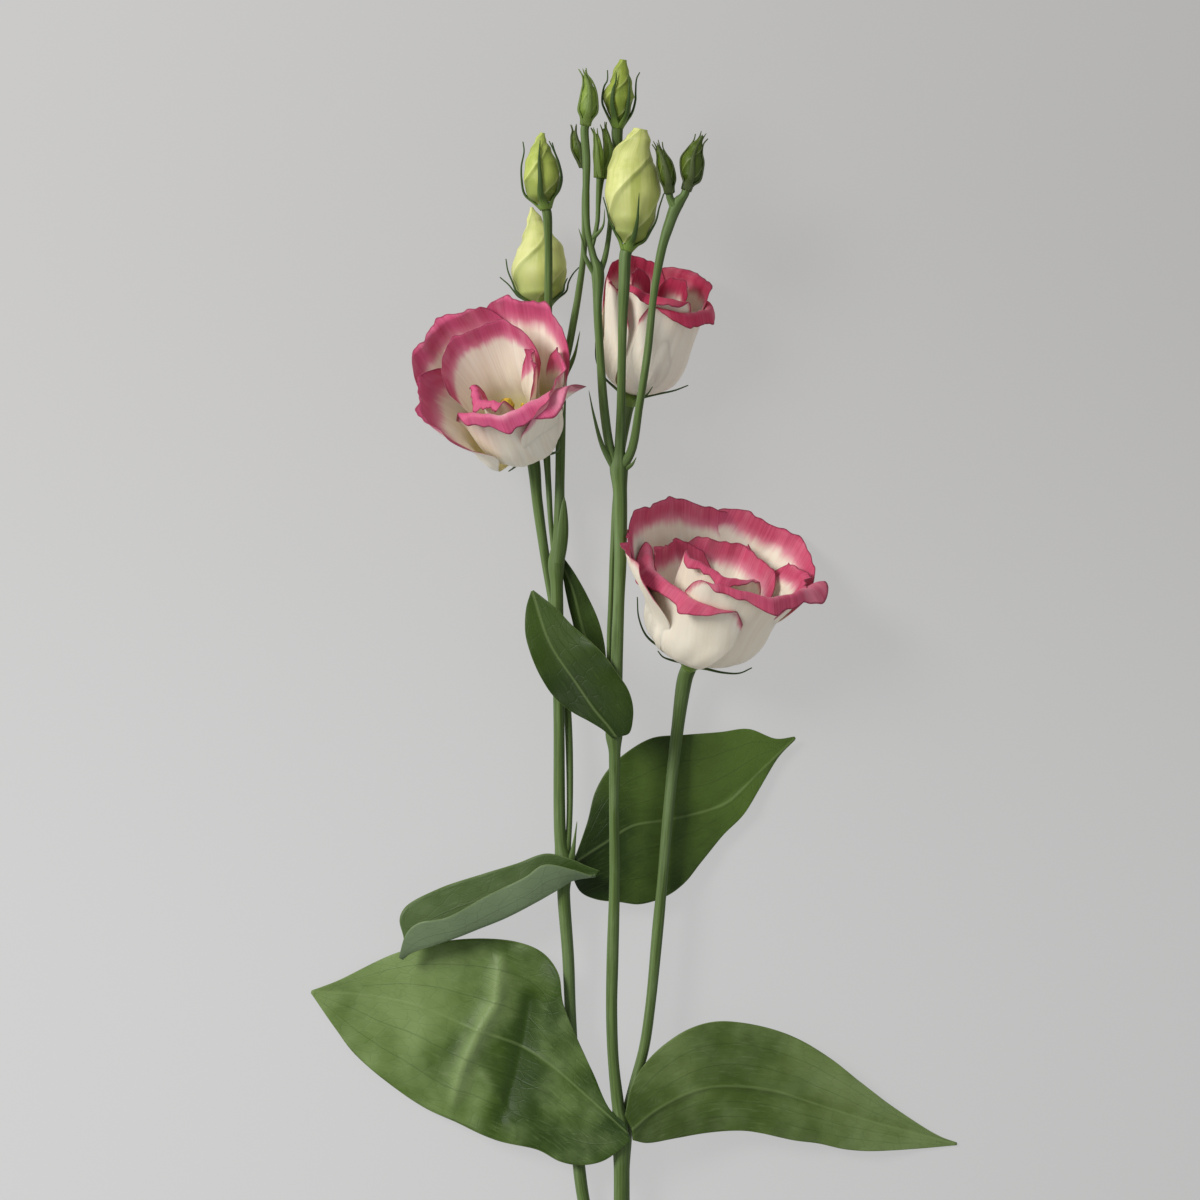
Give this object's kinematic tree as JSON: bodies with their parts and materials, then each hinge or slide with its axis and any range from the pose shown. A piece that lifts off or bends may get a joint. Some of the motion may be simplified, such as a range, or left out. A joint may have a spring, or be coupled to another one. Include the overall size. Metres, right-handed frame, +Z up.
{
  "type": "cut lisianthus flower",
  "caption": "Cut branching lisianthus spray lying on its back, with cream double blooms edged in pink, rolled buds, thin sepals and paired leaves.",
  "frame": {"origin": "on the surface that the spray lies on, under the middle of its bounding box", "axes": "+Y along the spray from the cut end to the buds, +Z up from the surface, +X to the right for a viewer who looks down with the buds at the top"},
  "size_m": [0.218, 0.4533, 0.0584],
  "materials": {
    "stem": "satin, fresh green stem",
    "leaf": "satin, dark green with a bluish bloom",
    "calyx": "matte, green",
    "petal": "matte, cream with a pink margin",
    "bud": "matte, pale yellow-green",
    "green_bud": "satin, mid green",
    "stamens": "matte, olive yellow"
  },
  "bodies": {
    "root": {"stem": "stem", "leaf_1": "leaf", "leaf_2": "leaf", "leaf_3": "leaf", "leaf_4": "leaf", "leaf_5": "leaf", "leaf_6": "leaf", "bloom_1": "petal", "bloom_1_calyx": "calyx", "bloom_1_stamens": "stamens", "bloom_2": "petal", "bloom_2_calyx": "calyx", "bloom_2_stamens": "stamens", "bloom_3": "petal", "bloom_3_calyx": "calyx", "bloom_3_stamens": "stamens", "bud_d": "bud", "bud_d_calyx": "calyx", "bud_e": "bud", "bud_e_calyx": "calyx", "bud_f": "bud", "bud_f_calyx": "calyx", "bud_g": "bud", "bud_g_calyx": "calyx", "bud_h": "green_bud", "bud_i": "green_bud", "bud_j": "green_bud", "bud_k": "green_bud", "bud_m": "green_bud", "bud_n": "green_bud"}
  },
  "joints": []
}
